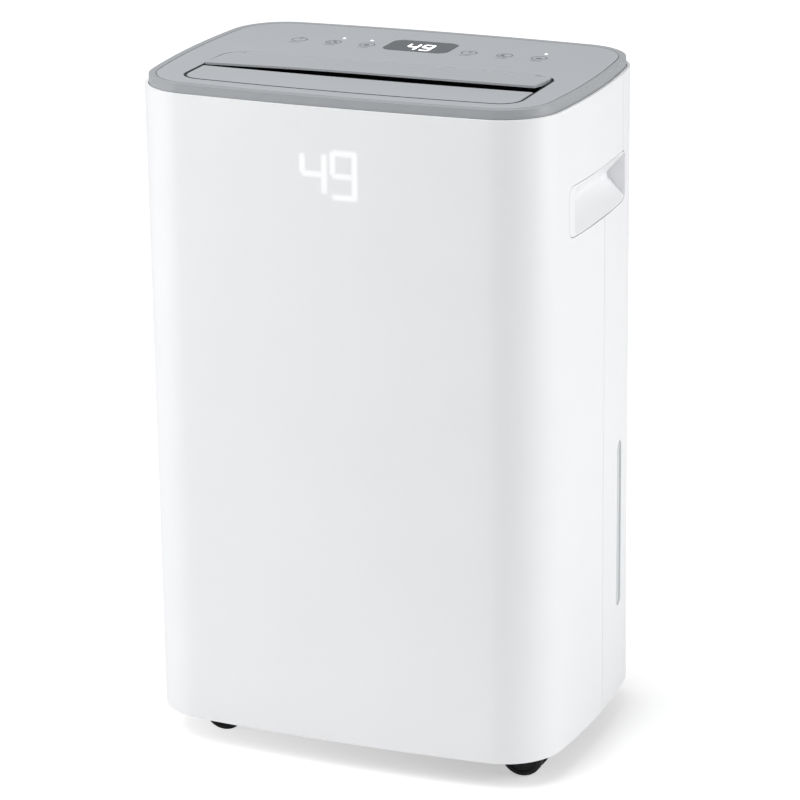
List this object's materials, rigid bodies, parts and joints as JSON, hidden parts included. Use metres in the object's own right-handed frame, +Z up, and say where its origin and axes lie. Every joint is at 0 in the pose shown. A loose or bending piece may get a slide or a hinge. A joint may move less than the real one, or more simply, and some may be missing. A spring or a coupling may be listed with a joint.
{
  "type": "portable dehumidifier",
  "caption": "Portable compressor dehumidifier: tall white housing on casters with a top air outlet, touch display, side handles and a pull-out rear water tank.",
  "frame": {"origin": "on the floor, under the centre of the housing", "axes": "+Z up, the front with the lit figures faces -Y, +X is the side with the water-level window"},
  "size_m": [0.366, 0.2584, 0.5744],
  "materials": {
    "white_housing": "fine satin moulded ABS",
    "light_gray_top": "satin moulded ABS",
    "black_plastic": "fine texture",
    "smoked_window": "polished smoked acrylic",
    "clear_window": "clear acrylic",
    "tank_plastic": "translucent polypropylene",
    "circuit_board": "solder mask",
    "galvanised_steel": "zinc coated",
    "coil_aluminium": "thin fins",
    "copper": "drawn copper tube",
    "compressor_enamel": "black enamel",
    "rubber": "matt",
    "filter_mesh": "nylon mesh",
    "float_foam": "closed cell foam"
  },
  "bodies": {
    "housing": {"front_shell": "white_housing", "rear_shell": "white_housing", "handle_cup_left": "white_housing", "handle_cup_right": "white_housing", "level_window": "clear_window", "top_bezel": "light_gray_top", "control_panel": "light_gray_top", "display_window": "smoked_window", "outlet_duct": "black_plastic", "outlet_guard": "black_plastic", "touch_board": "circuit_board", "led_light_guide": "clear_window", "front_display_module": "circuit_board", "top_display_module": "circuit_board", "base_pan": "black_plastic", "middle_deck": "galvanised_steel", "compressor": "compressor_enamel", "compressor_plate": "galvanised_steel", "compressor_grommet_1": "rubber", "compressor_grommet_2": "rubber", "compressor_grommet_3": "rubber", "run_capacitor": "coil_aluminium", "power_board": "circuit_board", "condenser": "coil_aluminium", "evaporator": "coil_aluminium", "suction_line": "copper", "discharge_line": "copper", "liquid_line": "copper", "drip_tray": "black_plastic", "fan_scroll": "black_plastic", "fan_motor": "galvanised_steel", "humidity_sensor": "white_housing", "tank_sensor": "black_plastic", "drain_outlet": "light_gray_top", "cord_gland": "black_plastic", "rear_screw_1": "galvanised_steel", "rear_screw_2": "galvanised_steel", "rear_screw_3": "galvanised_steel", "rear_screw_4": "galvanised_steel"},
    "rear_flap": {"louver_flap": "light_gray_top"},
    "front_vane": {"front_louver": "light_gray_top"},
    "fan": {"fan_wheel": "black_plastic"},
    "tank": {"water_tank": "tank_plastic", "tank_lid": "tank_plastic"},
    "tank_bail": {"tank_handle": "light_gray_top"},
    "float": {"tank_float": "float_foam"},
    "filter_panel": {"intake_grille": "white_housing", "air_filter": "filter_mesh"},
    "drain_plug": {"drain_cap": "light_gray_top"},
    "front_left_swivel": {"caster_front_left_fork": "black_plastic"},
    "front_right_swivel": {"caster_front_right_fork": "black_plastic"},
    "rear_left_swivel": {"caster_rear_left_fork": "black_plastic"},
    "rear_right_swivel": {"caster_rear_right_fork": "black_plastic"},
    "front_left_wheels": {"caster_front_left_wheels": "rubber"},
    "front_right_wheels": {"caster_front_right_wheels": "rubber"},
    "rear_left_wheels": {"caster_rear_left_wheels": "rubber"},
    "rear_right_wheels": {"caster_rear_right_wheels": "rubber"}
  },
  "joints": [
    {"name": "flap_hinge", "type": "hinge", "parent": "housing", "child": "rear_flap", "pos_m": [0, 0.001, 0.5698], "axis": [-1, 0, 0], "range_deg": [-3, 60]},
    {"name": "vane_hinge", "type": "hinge", "parent": "housing", "child": "front_vane", "pos_m": [0, -0.0597, 0.5698], "axis": [-1, 0, 0], "range_deg": [0, 50]},
    {"name": "fan_spin", "type": "hinge", "parent": "housing", "child": "fan", "pos_m": [-0.004, -0.052, 0.405], "axis": [0, 1, 0], "continuous": true},
    {"name": "tank_slide", "type": "slide", "parent": "housing", "child": "tank", "axis": [0, 1, 0], "range_m": [0, 0.125]},
    {"name": "bail_hinge", "type": "hinge", "parent": "tank", "child": "tank_bail", "pos_m": [0, 0.1207, 0.264], "axis": [1, 0, 0], "range_deg": [0, 100]},
    {"name": "float_hinge", "type": "hinge", "parent": "tank", "child": "float", "pos_m": [-0.145, 0.034, 0.262], "axis": [1, 0, 0], "range_deg": [0, 12]},
    {"name": "filter_slide", "type": "slide", "parent": "housing", "child": "filter_panel", "axis": [0, 1, 0], "range_m": [0, 0.06]},
    {"name": "drain_cap_pull", "type": "slide", "parent": "housing", "child": "drain_plug", "axis": [0, 1, 0], "range_m": [0, 0.03]},
    {"name": "front_left_swivel_turn", "type": "hinge", "parent": "housing", "child": "front_left_swivel", "pos_m": [-0.1355, -0.0765, 0.0385], "axis": [0, 0, 1], "continuous": true},
    {"name": "front_right_swivel_turn", "type": "hinge", "parent": "housing", "child": "front_right_swivel", "pos_m": [0.1355, -0.0765, 0.0385], "axis": [0, 0, 1], "continuous": true},
    {"name": "rear_left_swivel_turn", "type": "hinge", "parent": "housing", "child": "rear_left_swivel", "pos_m": [-0.1355, 0.0765, 0.0385], "axis": [0, 0, 1], "continuous": true},
    {"name": "rear_right_swivel_turn", "type": "hinge", "parent": "housing", "child": "rear_right_swivel", "pos_m": [0.1355, 0.0765, 0.0385], "axis": [0, 0, 1], "continuous": true},
    {"name": "front_left_wheel_spin", "type": "hinge", "parent": "front_left_swivel", "child": "front_left_wheels", "pos_m": [-0.1245, -0.0765, 0.0182], "axis": [0, 1, 0], "continuous": true},
    {"name": "front_right_wheel_spin", "type": "hinge", "parent": "front_right_swivel", "child": "front_right_wheels", "pos_m": [0.1465, -0.0765, 0.0182], "axis": [0, 1, 0], "continuous": true},
    {"name": "rear_left_wheel_spin", "type": "hinge", "parent": "rear_left_swivel", "child": "rear_left_wheels", "pos_m": [-0.1245, 0.0765, 0.0182], "axis": [0, 1, 0], "continuous": true},
    {"name": "rear_right_wheel_spin", "type": "hinge", "parent": "rear_right_swivel", "child": "rear_right_wheels", "pos_m": [0.1465, 0.0765, 0.0182], "axis": [0, 1, 0], "continuous": true}
  ]
}
